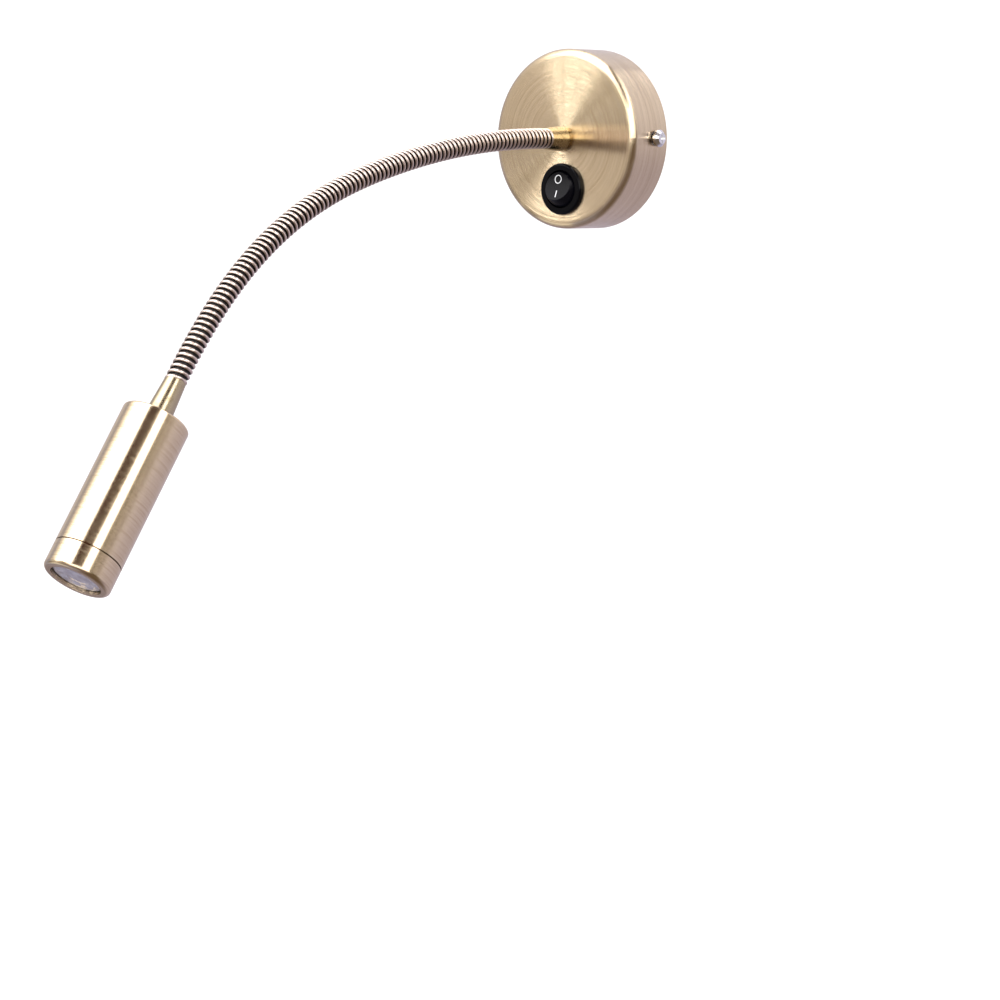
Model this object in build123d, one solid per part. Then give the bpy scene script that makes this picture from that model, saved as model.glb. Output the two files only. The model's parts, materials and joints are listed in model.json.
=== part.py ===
from build123d import *

import os
from math import cos, radians, sin, sqrt

# Bedside wall reading lamp: a round canopy on the wall, a bendable gooseneck and a small spot head.
# Frame: the wall is the plane Y = 0, the lamp stands out from it towards -Y, and +Z is up.
# The origin is the centre of the canopy's open back. Sizes are in millimetres and degrees.

# How far a cut runs on past the face that it opens
cut_over = 1.0

# Canopy, the brushed brass cover that stands on the wall
canopy_diameter = 80.0
canopy_depth = 24.0
canopy_wall = 1.2
canopy_edge_radius = 3.4
side_hole_diameter = 7.0
side_screw_height = 8.0

# Wall bracket, a steel strap with bent ears that the side screws thread into
strap_width = 16.0
strap_thickness = 2.0
strap_corner_radius = 3.0
strap_cable_hole = 12.0
ear_height = 13.0
ear_clearance = 0.4
ear_collar_diameter = 7.0
ear_collar_length = 1.5
wall_slot_spacing = 50.0
wall_slot_length = 10.0
wall_slot_width = 4.2
earth_screw_offset = 12.5

# Screws
thread_diameter = 4.0
side_head_diameter = 7.6
side_head_height = 2.4
side_screw_gap = 1.2
side_screw_reach = 1.0
earth_head_diameter = 7.0
earth_head_height = 2.2
cup_washer_diameter = 8.6
cup_washer_thickness = 0.8
pan_crown_share = 0.55
recess_span = 4.4
recess_width = 1.0
recess_depth = 1.2
thread_end_gap = 0.2

# Threaded ends of both ferrules, with their nuts and washers
nipple_diameter = 8.0
nipple_bore = 5.5
nipple_play = 0.2
nipple_reach = 9.0
nut_flats = 13.0
nut_thickness = 4.0
washer_diameter = 14.0
washer_thickness = 0.8
washer_teeth = 12
washer_tooth_depth = 1.3
washer_tooth_gap = 0.9
bush_flange = 1.0
bush_length = 5.0
bush_wall = 0.7

# Base ferrule
base_ferrule_length = 11.7
base_ferrule_cone = 1.9
base_ferrule_big = 11.0
base_ferrule_small = 9.6

# Gooseneck, a wound hose of round ribs that stays where it is bent
rib_pitch = 2.61
ribs_per_section = 9
section_count = 11
rib_diameter = 9.2
groove_diameter = 7.4
crest_width = 1.7
flank_width = 0.3
hose_bore = 4.6
hose_spigot = 6.0
droop_angle = 35.0
bend_angle = 19.0
bend_start_share = 0.42
bend_span_share = 0.57
link_ball_diameter = 6.4
link_clearance = 0.3
link_swing = 20.0

# Neck ferrule, between the gooseneck and the head
neck_ferrule_length = 18.4
neck_ferrule_small = 8.7
neck_ferrule_big = 11.0

# Spot head
head_diameter = 28.0
head_tube_length = 62.5
head_wall = 1.6
head_top_thickness = 3.0
head_top_radius = 1.0
groove_width = 0.5
groove_depth = 0.6
front_ring_length = 11.5
front_ring_rim_radius = 1.8
front_ring_lip = 1.5
front_ring_spigot = 4.0
front_ring_wall = 0.8
lens_opening = 21.3
lens_diameter = 20.0
lens_disc_thickness = 1.2
lens_holder_play = 0.1
lens_foot_diameter = 7.2
lens_recess_diameter = 6.0
lens_recess_depth = 3.2
lens_recess_draft = 0.4
lens_recess_crown = 0.6
lens_bulge_share = 0.66
lens_foot_gap = 0.4
lens_dome_diameter = 10.4
lens_dome_height = 0.7
lens_petals = 8
lens_petal_diameter = 4.2
lens_petal_height = 0.5
lens_petal_margin = 0.3
holder_foot_hole = 8.4
holder_floor = 0.8
led_board_diameter = 20.0
led_board_thickness = 1.6
led_board_notch = 3.2
led_board_notches = 6
optic_height = 10.5
led_package_width = 3.5
led_package_height = 0.6
led_dome_diameter = 2.8
heat_sink_length = 13.6
heat_sink_disc = 5.0
heat_sink_boss_diameter = 22.0
heat_sink_ring_gap = 1.5
heat_sink_slots = 10
heat_sink_slot_width = 2.2
heat_sink_core_diameter = 11.0
heat_sink_wire_hole = 5.0

# Rocker switch, below the ferrule
switch_drop = 22.3
bezel_diameter = 23.0
bezel_height = 2.0
bezel_edge_radius = 1.0
barrel_diameter = 19.8
barrel_depth = 13.5
barrel_play = 0.2
switch_floor = 1.5
switch_cavity = 17.0
snap_width = 5.0
snap_height = 3.0
snap_reach = 1.0
rocker_ball_diameter = 16.4
rocker_rim_height = 5.3
rocker_dish = 0.8
rocker_belly = 2.5
rocker_pivot_depth = 0.6
rocker_tilt = 14.0
trunnion_diameter = 2.2
trunnion_span = 18.4
trunnion_play = 0.3
stem_diameter = 4.6
stem_depth = 5.5
plunger_diameter = 2.4
plunger_bore = 3.0
plunger_depth = 7.6
plunger_length = 4.1
spring_seat_depth = 1.6
spring_wire = 0.4
contact_gap = 0.3
contact_tilt = 7.0
contact_length = 12.0
contact_width = 4.0
contact_thickness = 0.6
contact_corner = 1.0
contact_reach = 4.6
contact_rivet_diameter = 2.4
contact_rivet_height = 0.6
terminal_width = 4.8
terminal_thickness = 0.8
terminal_tail = 7.0
terminal_hole = 1.6

# LED driver, in the upper half of the canopy
driver_length = 40.0
driver_width = 16.0
driver_depth = 15.0
driver_wall = 1.2
driver_corner_radius = 2.0
driver_rim_gap = 2.4
driver_lid_thickness = 1.6
driver_lid_lip = 2.0
driver_fit = 0.2
driver_wire_slot = 3.6
board_thickness = 1.6
tape_thickness = 0.8
tape_margin = 3.0
block_tape_margin = 1.5
transformer_size = (12.0, 11.0, 8.4)
transformer_offset = -3.0
capacitor_diameter = 6.3
capacitor_length = 8.0
capacitor_offset = 9.5
film_capacitor_size = (4.5, 6.5, 6.5)
film_capacitor_offset = -13.0
film_capacitor_corner = 1.0
rectifier_size = (5.0, 6.5, 2.6)
rectifier_offset = 15.5
coil_share = 0.7
coil_corner = 1.5
core_width = 6.0
core_share = 0.9

# Mains terminal block, beside the switch
block_width = 13.0
block_length = 14.0
block_depth = 11.5
block_pole_spacing = 6.4
block_wire_bore = 3.2
block_screw_diameter = 3.0
block_screw_length = 4.0
block_screw_sink = 0.8
block_slot_width = 0.8
block_slot_depth = 0.8
block_clamp_diameter = 4.6
block_clamp_length = 9.0
block_corner = 1.5
block_switch_gap = 3.6
block_rim_gap = 1.3

# Derived sizes
canopy_radius = canopy_diameter / 2
canopy_inner_radius = canopy_radius - canopy_wall
face_back = canopy_depth - canopy_wall
ear_outer_x = sqrt(canopy_inner_radius**2 - (strap_width / 2) ** 2) - ear_clearance
nipple_end = face_back - nipple_reach
hose_start = canopy_depth + base_ferrule_length
hose_length = section_count * ribs_per_section * rib_pitch
head_length = head_tube_length + front_ring_length
head_bore = head_diameter - 2 * head_wall
lens_front = head_length - front_ring_lip
led_board_front = lens_front - optic_height
led_board_back = led_board_front - led_board_thickness
link_face_gap = groove_diameter / 2 * sin(radians(link_swing / 2)) + link_clearance / 2
link_rim_gap = rib_diameter / 2 * sin(radians(link_swing / 2)) + link_clearance / 2

# Heights and sides in the wall's own frame: x to the right, y up, z out from the wall
wall_frame = Plane(origin=(0, 0, 0), x_dir=(1, 0, 0), z_dir=(0, -1, 0))


def save(name, shape):
    export_step(shape, f"parts/{name}.step")


def group(*solids):
    return Compound(children=[part.solid() for part in solids])


def turned(*corners):
    """Solid of revolution about Z through corners given as (radius, height)."""
    return revolve(make_face(Polyline(*[(r, 0, z) for r, z in corners], close=True)), Axis.Z)


def rod(diameter, low, high, x=0, y=0):
    """Upright cylinder from height low to height high."""
    return Pos(x, y, low) * extrude(Circle(diameter / 2), high - low)


def cross_rod(diameter, left, right, z=0):
    """Cylinder that lies along X."""
    return Pos(left, 0, z) * Rot(0, 90, 0) * extrude(Circle(diameter / 2), right - left)


def block(width, length, low, high, x=0, y=0, corner=0.0):
    """Upright box from height low to height high, with rounded upright edges where corner is given."""
    outline = RectangleRounded(width, length, corner) if corner else Rectangle(width, length)
    return Pos(x, y, low) * extrude(outline, high - low)


# ---------------------------------------------------------------- wall bracket


def wall_bracket():
    """Strap with two ears bent up, tapped collars in the ears and slots for the wall screws."""
    strap = block(2 * ear_outer_x, strap_width, 0, ear_height)
    hollow_width = 2 * (ear_outer_x - strap_thickness)
    strap -= block(hollow_width, strap_width + 2 * cut_over, strap_thickness, ear_height + cut_over)
    outer_bends = strap.edges().filter_by(Axis.Y).group_by(Axis.Z)[0]
    strap = fillet(outer_bends, strap_thickness)
    ear_corners = strap.edges().filter_by(Axis.X).group_by(Axis.Z)[-1]
    strap = fillet(ear_corners, strap_corner_radius)
    for side in (-1, 1):
        inner_x = side * (ear_outer_x - strap_thickness)
        collar_x = inner_x - side * ear_collar_length
        ends = sorted((collar_x, inner_x))
        strap += cross_rod(ear_collar_diameter, *ends, z=side_screw_height)
    strap -= cross_rod(thread_diameter, -canopy_radius, canopy_radius, z=side_screw_height)
    for side in (-1, 1):
        slot = Pos(side * wall_slot_spacing / 2, 0, -cut_over) * extrude(
            SlotOverall(wall_slot_length, wall_slot_width), strap_thickness + 2 * cut_over
        )
        strap -= slot
    strap -= rod(strap_cable_hole, -cut_over, strap_thickness + cut_over)
    strap -= rod(thread_diameter, -cut_over, strap_thickness + cut_over, x=earth_screw_offset)
    return strap


def cross_recess(top):
    """The two crossed slots of a screw head whose top is at height top."""
    low, high = top - recess_depth, top + cut_over
    return block(recess_span, recess_width, low, high) + block(recess_width, recess_span, low, high)


def pan_screw(head_diameter_, head_height, shank_length):
    """Screw that points down from its head's underside at height 0."""
    crown_drop = pan_crown_share * head_height
    dome = (head_diameter_ / 2 - crown_drop, head_height)
    shoulder = (head_diameter_ / 2, head_height - crown_drop)
    shank_radius = thread_diameter / 2
    screw = turned(
        (0, head_height), dome, shoulder, (head_diameter_ / 2, 0), (shank_radius, 0),
        (shank_radius, -shank_length), (0, -shank_length),
    )
    return screw - cross_recess(head_height)


def bracket_earth_screw():
    seat = strap_thickness + cup_washer_thickness
    screw = pan_screw(earth_head_diameter, earth_head_height, seat - thread_end_gap)
    return Pos(earth_screw_offset, 0, seat) * screw


def earth_cup_washer():
    low, high = strap_thickness, strap_thickness + cup_washer_thickness
    washer = rod(cup_washer_diameter, low, high, x=earth_screw_offset)
    return washer - rod(thread_diameter, low - cut_over, high + cut_over, x=earth_screw_offset)


# ---------------------------------------------------------------- canopy


def canopy_shell():
    """Cup with a rounded front edge and holes for the switch, the ferrule and the side screws."""
    outside = rod(canopy_diameter, 0, canopy_depth)
    outside = fillet(outside.edges().group_by(Axis.Z)[-1], canopy_edge_radius)
    inside = rod(2 * canopy_inner_radius, -1, face_back)
    inside = fillet(inside.edges().group_by(Axis.Z)[-1], canopy_edge_radius - canopy_wall)
    shell = outside - inside
    shell -= rod(nipple_diameter + nipple_play, face_back - cut_over, canopy_depth + cut_over)
    shell -= rod(barrel_diameter + barrel_play, face_back - cut_over, canopy_depth + cut_over, y=-switch_drop)
    shell -= cross_rod(side_hole_diameter, -canopy_diameter, canopy_diameter, z=side_screw_height)
    return shell


def canopy_side_screws():
    """Both screws, each standing side_screw_gap off the shell and threaded through its ear."""
    underside = canopy_radius + side_screw_gap
    ear_inner = ear_outer_x - strap_thickness - ear_collar_length
    screw = pan_screw(side_head_diameter, side_head_height, underside - ear_inner + side_screw_reach)
    right = Pos(underside, 0, side_screw_height) * Rot(0, 90, 0) * screw
    left = Pos(-underside, 0, side_screw_height) * Rot(0, -90, 0) * screw
    return group(right, left)


# ---------------------------------------------------------------- ferrules and their fixings


def base_ferrule():
    """Turned sleeve: threaded end behind the face, a short cone that seats in the hole, a long taper."""
    seat_radius = (nipple_diameter + nipple_play) / 2
    spigot_floor = hose_start - hose_spigot
    return turned(
        (nipple_bore / 2, nipple_end), (nipple_diameter / 2, nipple_end),
        (nipple_diameter / 2, canopy_depth - nipple_play), (seat_radius, canopy_depth),
        (base_ferrule_big / 2, canopy_depth + base_ferrule_cone), (base_ferrule_small / 2, hose_start),
        (groove_diameter / 2, hose_start), (groove_diameter / 2, spigot_floor),
        (nipple_bore / 2, spigot_floor),
    )


def toothed_washer(low):
    """Lock washer with teeth cut into its outer edge."""
    washer = rod(washer_diameter, low, low + washer_thickness)
    cut_low, cut_high = low - cut_over, low + washer_thickness + cut_over
    washer -= rod(nipple_diameter, cut_low, cut_high)
    notch_centre = washer_diameter / 2
    notch = block(2 * washer_tooth_depth, washer_tooth_gap, cut_low, cut_high, x=notch_centre)
    for tooth in range(washer_teeth):
        washer -= Rot(0, 0, tooth * 360 / washer_teeth) * notch
    return washer


def hexagon_nut(low):
    outline = RegularPolygon(nut_flats / 2, 6, major_radius=False)
    nut = Pos(0, 0, low) * extrude(outline, nut_thickness)
    return nut - rod(nipple_diameter, low - cut_over, low + nut_thickness + cut_over)


def wire_bush():
    """Flanged plastic sleeve pushed into the threaded end, so that its edge can't cut the wires."""
    inner = nipple_bore / 2 - bush_wall
    return turned(
        (inner, nipple_end - bush_flange), (nipple_diameter / 2, nipple_end - bush_flange),
        (nipple_diameter / 2, nipple_end), (nipple_bore / 2, nipple_end),
        (nipple_bore / 2, nipple_end + bush_length), (inner, nipple_end + bush_length),
    )


def neck_ferrule():
    """Turned cone from the hose's end to the head's top, with a threaded end inside the head."""
    top = neck_ferrule_length
    thread_end = top + head_top_thickness + washer_thickness + nut_thickness + bush_flange
    return turned(
        (groove_diameter / 2, 0), (neck_ferrule_small / 2, 0), (neck_ferrule_big / 2, top),
        (nipple_diameter / 2, top), (nipple_diameter / 2, thread_end), (nipple_bore / 2, thread_end),
        (nipple_bore / 2, hose_spigot), (groove_diameter / 2, hose_spigot),
    )


# ---------------------------------------------------------------- rocker switch


def switch_housing():
    """Bezel and barrel in one moulding, open to the front, with snap wings behind the panel."""
    bezel = rod(bezel_diameter, 0, bezel_height)
    bezel = fillet(bezel.edges().group_by(Axis.Z)[-1], bezel_edge_radius)
    housing = bezel + rod(barrel_diameter, -barrel_depth, 0)
    wing_top = -canopy_wall
    wing_root = barrel_diameter / 2 - barrel_play
    wing = make_face(
        Polyline(
            (wing_root, 0, wing_top), (barrel_diameter / 2 + snap_reach, 0, wing_top),
            (wing_root, 0, wing_top - snap_height), close=True,
        )
    )
    wing = extrude(wing, snap_width / 2, both=True, dir=(0, 1, 0))
    housing += wing + mirror(wing, Plane.YZ)
    housing -= rod(switch_cavity, switch_floor - barrel_depth, bezel_height + cut_over)
    hole_span = trunnion_span / 2 + trunnion_play
    hole_diameter = trunnion_diameter + 2 * trunnion_play
    housing -= cross_rod(hole_diameter, -hole_span, hole_span, z=-rocker_pivot_depth)
    for y in (0, contact_reach):
        housing -= block(terminal_width, terminal_thickness, -barrel_depth - cut_over, 0, y=y)
    return housing


def tilted(shape, pivot_height, angle):
    """Turns a piece that is drawn about its own pivot, and puts the pivot at its height."""
    return Pos(0, 0, pivot_height) * Rot(angle, 0, 0) * shape


def switch_rocker():
    """Round rocker with a dished face, cut from a ball about its pivot so that it clears its well."""
    rim_reach = sqrt((rocker_ball_diameter / 2) ** 2 - rocker_rim_height**2)
    dish_radius = (rim_reach**2 + rocker_dish**2) / (2 * rocker_dish)
    dish_centre = rocker_rim_height - rocker_dish + dish_radius
    ball = Sphere(rocker_ball_diameter / 2)
    width = rocker_ball_diameter
    rocker = ball & block(width, width, -rocker_belly, rocker_rim_height)
    rocker -= cross_rod(2 * dish_radius, -width, width, z=dish_centre)
    rocker += cross_rod(trunnion_diameter, -trunnion_span / 2, trunnion_span / 2)
    rocker += rod(stem_diameter, -stem_depth, 1 - rocker_belly)
    rocker -= rod(plunger_bore, -stem_depth - cut_over, -spring_seat_depth)
    return rocker


def switch_plunger():
    """Sprung pin with a round tip, which slides in the rocker's stem and rides the contact blade."""
    tip_centre = plunger_diameter / 2 - plunger_depth
    pin = rod(plunger_diameter, tip_centre, plunger_length - plunger_depth)
    return pin + Pos(0, 0, tip_centre) * Sphere(plunger_diameter / 2)


def switch_spring():
    low, high = plunger_length - plunger_depth, -spring_seat_depth
    outer = plunger_diameter
    return rod(outer, low, high) - rod(outer - 2 * spring_wire, low - cut_over, high + cut_over)


contact_pivot = -rocker_pivot_depth - plunger_depth - contact_gap - contact_thickness


def switch_contact():
    """See-saw blade with a contact rivet under its upper end. Its pivot is under its middle."""
    blade = block(contact_width, contact_length, 0, contact_thickness, corner=contact_corner)
    rivet = rod(contact_rivet_diameter, -contact_rivet_height, contact_thickness, y=contact_reach)
    return blade + rivet


def terminal(top, y):
    """Flat terminal with a holed tail, up through the switch's floor to height top."""
    low = -barrel_depth - terminal_tail
    tail = block(terminal_width, terminal_thickness, low, top, y=y)
    drill = extrude(Circle(terminal_hole / 2), 2 * cut_over)
    hole = Pos(0, y - cut_over, low + 2 * terminal_hole) * Rot(-90, 0, 0) * drill
    return tail - hole


def load_terminal_top():
    """Height of the load contact: just under the rivet when the blade is tilted fully on."""
    drop = contact_reach * sin(radians(contact_tilt)) + contact_rivet_height
    edge_drop = contact_rivet_diameter / 2 * sin(radians(contact_tilt))
    return contact_pivot - drop - edge_drop - contact_gap / 2


# ---------------------------------------------------------------- LED driver


driver_reach = sqrt((canopy_inner_radius - driver_rim_gap) ** 2 - (driver_length / 2) ** 2)
driver_offset = driver_reach - driver_width / 2
driver_top = face_back - tape_thickness
driver_low = driver_top - driver_depth
board_low = driver_low + driver_lid_lip
board_high = board_low + board_thickness


def driver_case():
    """Moulded box, open to the wall, with corner posts for the board and a wire notch at each end."""
    case = block(driver_length, driver_width, driver_low, driver_top, corner=driver_corner_radius)
    inner_length, inner_width = driver_length - 2 * driver_wall, driver_width - 2 * driver_wall
    case -= block(inner_length, inner_width, driver_low - cut_over, driver_top - driver_wall)
    post = driver_wall + driver_corner_radius
    for side_x in (-1, 1):
        for side_y in (-1, 1):
            x = side_x * (inner_length - post) / 2
            y = side_y * (inner_width - post) / 2
            case += block(post, post, board_high, driver_top - driver_wall / 2, x=x, y=y)
    case -= block(driver_length + 2 * cut_over, driver_wire_slot, driver_low - cut_over, board_low)
    return Pos(0, driver_offset, 0) * case


def driver_lid():
    """Lid on the wall side, with a lip that goes into the case and holds the board."""
    lid = block(
        driver_length, driver_width, driver_low - driver_lid_thickness, driver_low,
        corner=driver_corner_radius,
    )
    lip_length = driver_length - 2 * driver_wall - 2 * driver_fit
    lip_width = driver_width - 2 * driver_wall - 2 * driver_fit
    lip = block(lip_length, lip_width, driver_low, board_low)
    lip -= block(lip_length - 2 * driver_wall, lip_width - 2 * driver_wall, driver_low, board_low + cut_over)
    lip -= block(driver_length, driver_wire_slot, driver_low, board_low + cut_over)
    return Pos(0, driver_offset, 0) * (lid + lip)


def driver_board():
    length = driver_length - 2 * driver_wall - 2 * driver_fit
    width = driver_width - 2 * driver_wall - 2 * driver_fit
    return Pos(0, driver_offset, 0) * block(length, width, board_low, board_high)


def driver_components():
    """Transformer with its core, electrolytic and film capacitors and rectifier, standing on the board."""
    width, length, height = transformer_size
    coil_top, core_top = board_high + height, board_high + core_share * height
    coil = block(
        width, coil_share * length, board_high, coil_top, x=transformer_offset, corner=coil_corner
    )
    core = block(core_width, length, board_high, core_top, x=transformer_offset)
    electrolytic = rod(capacitor_diameter, board_high, board_high + capacitor_length, x=capacitor_offset)
    width, length, height = film_capacitor_size
    film = block(
        width, length, board_high, board_high + height, x=film_capacitor_offset,
        corner=film_capacitor_corner,
    )
    width, length, height = rectifier_size
    rectifier = block(width, length, board_high, board_high + height, x=rectifier_offset)
    return group(*[Pos(0, driver_offset, 0) * part for part in (coil + core, electrolytic, film, rectifier)])


def driver_tape():
    length, width = driver_length - 2 * tape_margin, driver_width - 2 * tape_margin
    return block(length, width, driver_top, face_back, y=driver_offset)


# ---------------------------------------------------------------- mains terminal block


block_centre_x = barrel_diameter / 2 + snap_reach + block_switch_gap + block_width / 2
block_outer_x = block_centre_x + block_width / 2
block_reach = sqrt((canopy_inner_radius - block_rim_gap) ** 2 - block_outer_x**2)
block_centre_y = block_length / 2 - block_reach
block_top = face_back - tape_thickness
block_low = block_top - block_depth
clamp_height = block_low + block_screw_sink + block_screw_length


def pole_positions():
    return [block_centre_x + side * block_pole_spacing / 2 for side in (-1, 1)]


def lengthwise_rod(diameter, length, x, z):
    """Cylinder along Y, centred on the block."""
    start = Pos(x, block_centre_y + length / 2, z)
    return start * Rot(90, 0, 0) * extrude(Circle(diameter / 2), length)


def terminal_block_body():
    """Two-pole block: a clamp bore and a screw bore for each pole."""
    body = block(
        block_width, block_length, block_low, block_top, x=block_centre_x, y=block_centre_y,
        corner=block_corner,
    )
    for x in pole_positions():
        body -= lengthwise_rod(block_clamp_diameter, block_clamp_length, x, clamp_height)
        body -= lengthwise_rod(block_wire_bore, block_length + 2 * cut_over, x, clamp_height)
        body -= rod(block_screw_diameter, block_low - cut_over, clamp_height, x=x, y=block_centre_y)
    return body


def terminal_block_clamps():
    clamps = []
    for x in pole_positions():
        clamp = lengthwise_rod(block_clamp_diameter, block_clamp_length, x, clamp_height)
        clamp -= lengthwise_rod(block_wire_bore, block_length, x, clamp_height)
        clamp -= rod(block_screw_diameter, block_low, clamp_height, x=x, y=block_centre_y)
        clamps.append(clamp)
    return group(*clamps)


def terminal_block_screws():
    screws = []
    low = block_low + block_screw_sink
    for x in pole_positions():
        screw = rod(block_screw_diameter, low, low + block_screw_length, x=x, y=block_centre_y)
        slot_top = low + block_slot_depth
        slot_length = block_screw_diameter + cut_over
        slot = block(slot_length, block_slot_width, low - cut_over, slot_top, x=x, y=block_centre_y)
        screws.append(screw - slot)
    return group(*screws)


def terminal_block_tape():
    width, length = block_width - block_tape_margin, block_length - block_tape_margin
    return block(width, length, block_top, face_back, x=block_centre_x, y=block_centre_y)


# ---------------------------------------------------------------- gooseneck


def dip_at(travel):
    """Angle below level after a share of the hose: an even droop, and a bend that eases in and out."""
    share = min(max((travel - bend_start_share) / bend_span_share, 0), 1)
    return droop_angle * travel + bend_angle * share**2 * (3 - 2 * share)


def heading(dip):
    return Vector(0, -cos(radians(dip)), -sin(radians(dip)))


def hose_planes():
    """Planes square to the hose at each half pitch, from its start to its end, all with X kept level."""
    step_count = 2 * section_count * ribs_per_section
    step = hose_length / step_count
    centre = Vector(0, -hose_start, 0)
    planes = []
    for index in range(step_count + 1):
        planes.append(Plane(origin=centre, x_dir=(1, 0, 0), z_dir=heading(dip_at(index / step_count))))
        centre = centre + heading(dip_at((index + 0.5) / step_count)) * step
    return planes


def ring(plane, radius, offset=0.0):
    return plane.offset(offset) * Circle(radius)


def gooseneck_section(number, planes):
    """One length of hose. Its ribs are one ruled loft, four circles to a rib. It ends in a ball that the
    next length's socket goes over, and both ends leave room for the hose to swing about that ball."""
    first = 2 * ribs_per_section * number
    last = first + 2 * ribs_per_section
    crest, root = rib_diameter / 2, groove_diameter / 2
    half = crest_width / 2
    rings = []
    for rib in range(ribs_per_section):
        plane = planes[first + 2 * rib + 1]
        near_face, near_rim = -half - flank_width, -half
        far_rim, far_face = half, half + flank_width
        if rib == 0 and number > 0:
            near_face, near_rim = link_face_gap - rib_pitch / 2, link_rim_gap - rib_pitch / 2
        if rib == ribs_per_section - 1 and number < section_count - 1:
            far_rim, far_face = rib_pitch / 2 - link_rim_gap, rib_pitch / 2 - link_face_gap
        rings += [
            ring(plane, root, near_face), ring(plane, crest, near_rim),
            ring(plane, crest, far_rim), ring(plane, root, far_face),
        ]
    start, end = planes[first], planes[last]
    if number == 0:
        rings = [ring(start, root, -hose_spigot), ring(start, root)] + rings
    if number == section_count - 1:
        rings += [ring(end, root), ring(end, root, hose_spigot)]
    section = loft(rings, ruled=True)
    if number > 0:
        section -= start * Sphere(link_ball_diameter / 2 + link_clearance)
    if number < section_count - 1:
        section += end * Sphere(link_ball_diameter / 2)
    bore_reach = hose_spigot + cut_over
    bore_planes = [start.offset(-bore_reach)] + planes[first + 2:last:4] + [end.offset(bore_reach)]
    return section - loft([ring(plane, hose_bore / 2) for plane in bore_planes], ruled=True)


# ---------------------------------------------------------------- spot head


def head_tube():
    """Turned cup: closed top with the ferrule's hole, open at the bottom for the front ring."""
    radius, inner = head_diameter / 2, head_bore / 2
    tube = turned(
        (nipple_diameter / 2, 0), (radius, 0), (radius, head_tube_length), (inner, head_tube_length),
        (inner, head_top_thickness), (nipple_diameter / 2, head_top_thickness),
    )
    rim = tube.edges().filter_by(GeomType.CIRCLE).group_by(Axis.Z)[0].sort_by(SortBy.RADIUS)[-1]
    return fillet(rim, head_top_radius)


def front_ring():
    """Threaded ring with a relief that leaves the thin groove, a rounded rim and a lip over the lens."""
    radius, thread = head_diameter / 2, head_bore / 2
    pocket = thread - front_ring_wall
    seat = head_tube_length
    lip_back = head_length - front_ring_lip
    body = turned(
        (pocket, seat - front_ring_spigot), (thread, seat - front_ring_spigot), (thread, seat),
        (radius - groove_depth, seat), (radius - groove_depth, seat + groove_width),
        (radius, seat + groove_width), (radius, head_length), (lens_opening / 2, head_length),
        (lens_opening / 2, lip_back), (pocket, lip_back),
    )
    rim = body.edges().filter_by(GeomType.CIRCLE).group_by(Axis.Z)[-1].sort_by(SortBy.RADIUS)[-1]
    return fillet(rim, front_ring_rim_radius)


def lens_holder():
    """Black cup that stands on the LED board and carries the lens, just behind the ring's lip."""
    outer = head_bore / 2 - front_ring_wall - lens_holder_play
    foot = led_board_front
    return turned(
        (holder_foot_hole / 2, foot), (outer, foot), (outer, lens_front), (lens_diameter / 2, lens_front),
        (lens_diameter / 2, lens_front - lens_disc_thickness), (outer - holder_floor, foot + holder_floor),
        (holder_foot_hole / 2, foot + holder_floor),
    )


def lens_bulge(diameter, height, x=0.0):
    """Low round bulge on the lens's front: the cap of a ball, up to the given height."""
    ball_radius = ((diameter / 2) ** 2 + height**2) / (2 * height)
    ball = Pos(x, 0, lens_front + height - ball_radius) * Sphere(ball_radius)
    return ball & rod(diameter, lens_front - lens_disc_thickness / 2, lens_front + height, x=x)


def lens():
    """Collimator: a disc on a tapering body, with a recess over the LED, and a front with a dome in the
    middle and a ring of small bulges round it, like petals."""
    disc_back = lens_front - lens_disc_thickness
    foot = led_board_front + lens_foot_gap
    foot_radius = lens_foot_diameter / 2
    flank_top = lens_diameter / 2 - holder_floor
    bulge_radius = foot_radius + lens_bulge_share * (flank_top - foot_radius)
    recess_radius = lens_recess_diameter / 2
    recess_top = foot + lens_recess_depth
    petal_reach = (lens_diameter - lens_petal_diameter) / 2 - lens_petal_margin
    body = turned(
        (0, lens_front), (lens_diameter / 2, lens_front), (lens_diameter / 2, disc_back),
        (flank_top, disc_back), (bulge_radius, (foot + disc_back) / 2), (foot_radius, foot),
        (recess_radius, foot), (recess_radius - lens_recess_draft, recess_top),
        (0, recess_top + lens_recess_crown),
    )
    body += lens_bulge(lens_dome_diameter, lens_dome_height)
    petal = lens_bulge(lens_petal_diameter, lens_petal_height, x=petal_reach)
    for number in range(lens_petals):
        body += Rot(0, 0, number * 360 / lens_petals) * petal
    return body


def led_board():
    """Round metal-core board with six edge notches."""
    board = rod(led_board_diameter, led_board_back, led_board_front)
    cut_low, cut_high = led_board_back - cut_over, led_board_front + cut_over
    cut = rod(led_board_notch, cut_low, cut_high, x=led_board_diameter / 2)
    for notch in range(led_board_notches):
        board -= Rot(0, 0, notch * 360 / led_board_notches) * cut
    return board


def led_emitter():
    top = led_board_front + led_package_height
    package = block(led_package_width, led_package_width, led_board_front, top)
    dome = Pos(0, 0, top) * Sphere(led_dome_diameter / 2)
    above = rod(led_dome_diameter * 2, top - led_package_height / 2, top + led_dome_diameter)
    return package + (dome & above)


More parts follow.
